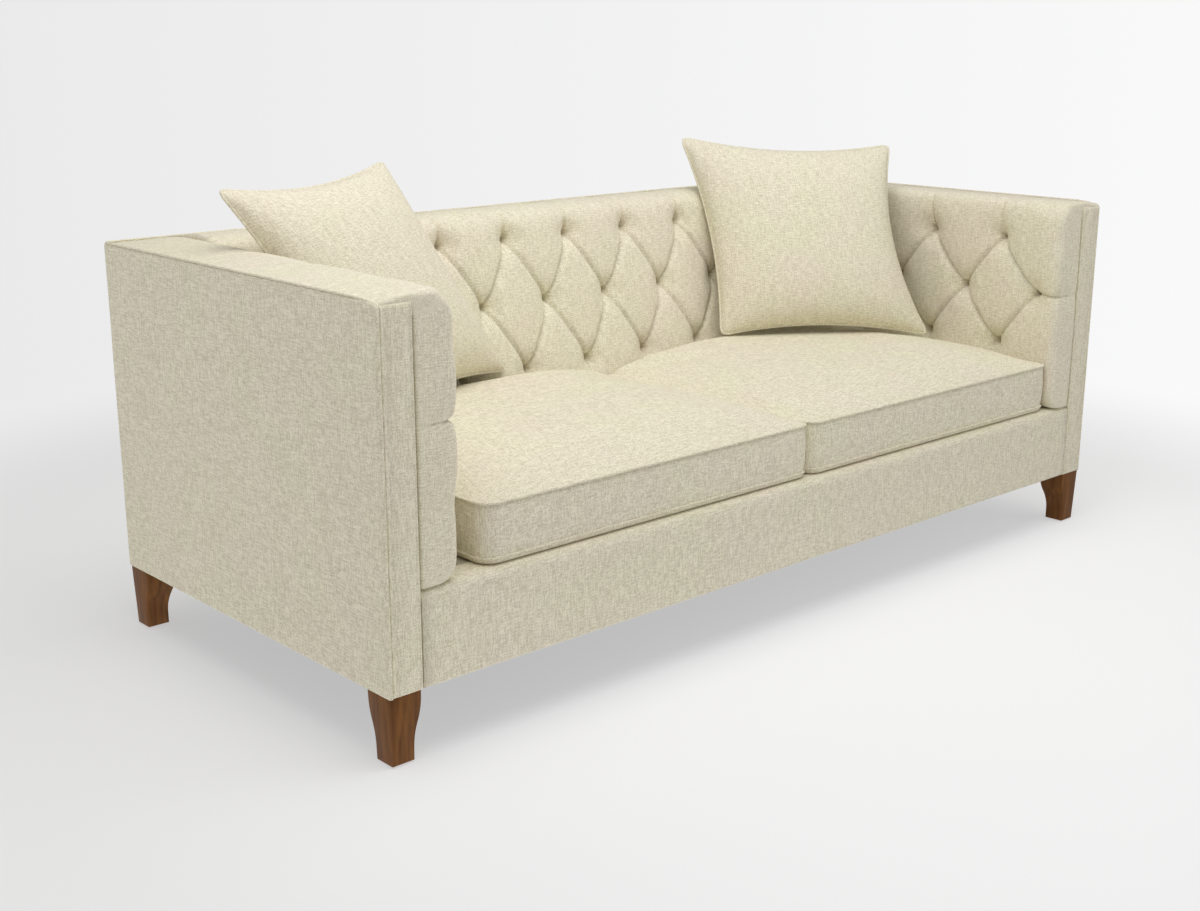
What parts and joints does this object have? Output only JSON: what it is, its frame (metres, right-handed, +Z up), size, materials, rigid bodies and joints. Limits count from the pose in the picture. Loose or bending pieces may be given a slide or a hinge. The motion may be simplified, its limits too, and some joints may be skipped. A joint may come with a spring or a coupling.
{
  "type": "sofa",
  "caption": "Low sofa with straight arms level with the back, button-tufted inner back and arms, boxed seat cushions, loose scatter cushions and short tapered wooden legs.",
  "frame": {"origin": "on the floor, below the middle of the sofa", "axes": "+X to the right as seen from the front, +Y towards the back, +Z up"},
  "size_m": [2.1, 0.93, 0.9267],
  "materials": {
    "linen": "matte, slubby weave",
    "leg_wood": "satin, walnut brown",
    "frame_timber": "sawn softwood",
    "thin_board": "plain hardboard",
    "webbing": "woven elastic",
    "spring_steel": "oiled wire",
    "clip_plastic": "moulded",
    "foam": "cut foam",
    "filling": "soft fibre",
    "felt": "felt over springs",
    "dust_cloth": "thin black cloth"
  },
  "bodies": {
    "frame": {"right_arm_outer_cover": "linen", "left_arm_outer_cover": "linen", "right_arm_front_cover": "linen", "left_arm_front_cover": "linen", "back_outer_cover": "linen", "front_rail_cover": "linen", "top_welt": "linen", "back_pad": "linen", "right_arm_pad": "linen", "left_arm_pad": "linen", "back_buttons": "linen", "right_arm_buttons": "linen", "left_arm_buttons": "linen", "leg_front_left": "leg_wood", "leg_front_right": "leg_wood", "leg_rear_left": "leg_wood", "leg_rear_right": "leg_wood", "front_rail": "frame_timber", "back_rail": "frame_timber", "back_seat_rail": "frame_timber", "right_side_rail": "frame_timber", "left_side_rail": "frame_timber", "centre_joist": "frame_timber", "corner_blocks": "frame_timber", "right_arm_posts": "frame_timber", "left_arm_posts": "frame_timber", "right_arm_top_rail": "frame_timber", "left_arm_top_rail": "frame_timber", "back_uprights": "frame_timber", "back_top_rail": "frame_timber", "right_arm_side_board": "thin_board", "left_arm_side_board": "thin_board", "back_outer_board": "thin_board", "right_arm_straps": "webbing", "left_arm_straps": "webbing", "back_straps": "webbing", "seat_springs": "spring_steel", "leg_bolts": "spring_steel", "leg_plates": "spring_steel", "spring_clips": "clip_plastic", "leg_glides": "clip_plastic", "seat_deck": "felt", "dust_cover": "dust_cloth"},
    "seat_cushion_left": {"seat_cushion_left_cover": "linen", "seat_cushion_left_foam": "foam", "seat_cushion_left_piping": "linen"},
    "seat_cushion_right": {"seat_cushion_right_cover": "linen", "seat_cushion_right_foam": "foam", "seat_cushion_right_piping": "linen"},
    "scatter_cushion_left": {"scatter_cushion_left_cover": "linen", "scatter_cushion_left_filling": "filling", "scatter_cushion_left_piping": "linen"},
    "scatter_cushion_right": {"scatter_cushion_right_cover": "linen", "scatter_cushion_right_filling": "filling", "scatter_cushion_right_piping": "linen"}
  },
  "joints": [
    {"name": "lift_seat_left", "type": "slide", "parent": "frame", "child": "seat_cushion_left", "axis": [0, 0, 1], "range_m": [0, 0.55]},
    {"name": "lift_seat_right", "type": "slide", "parent": "frame", "child": "seat_cushion_right", "axis": [0, 0, 1], "range_m": [0, 0.55]},
    {"name": "lift_scatter_left", "type": "slide", "parent": "seat_cushion_left", "child": "scatter_cushion_left", "axis": [0, 0, 1], "range_m": [0, 0.55]},
    {"name": "lift_scatter_right", "type": "slide", "parent": "seat_cushion_right", "child": "scatter_cushion_right", "axis": [0, 0, 1], "range_m": [0, 0.55]}
  ]
}
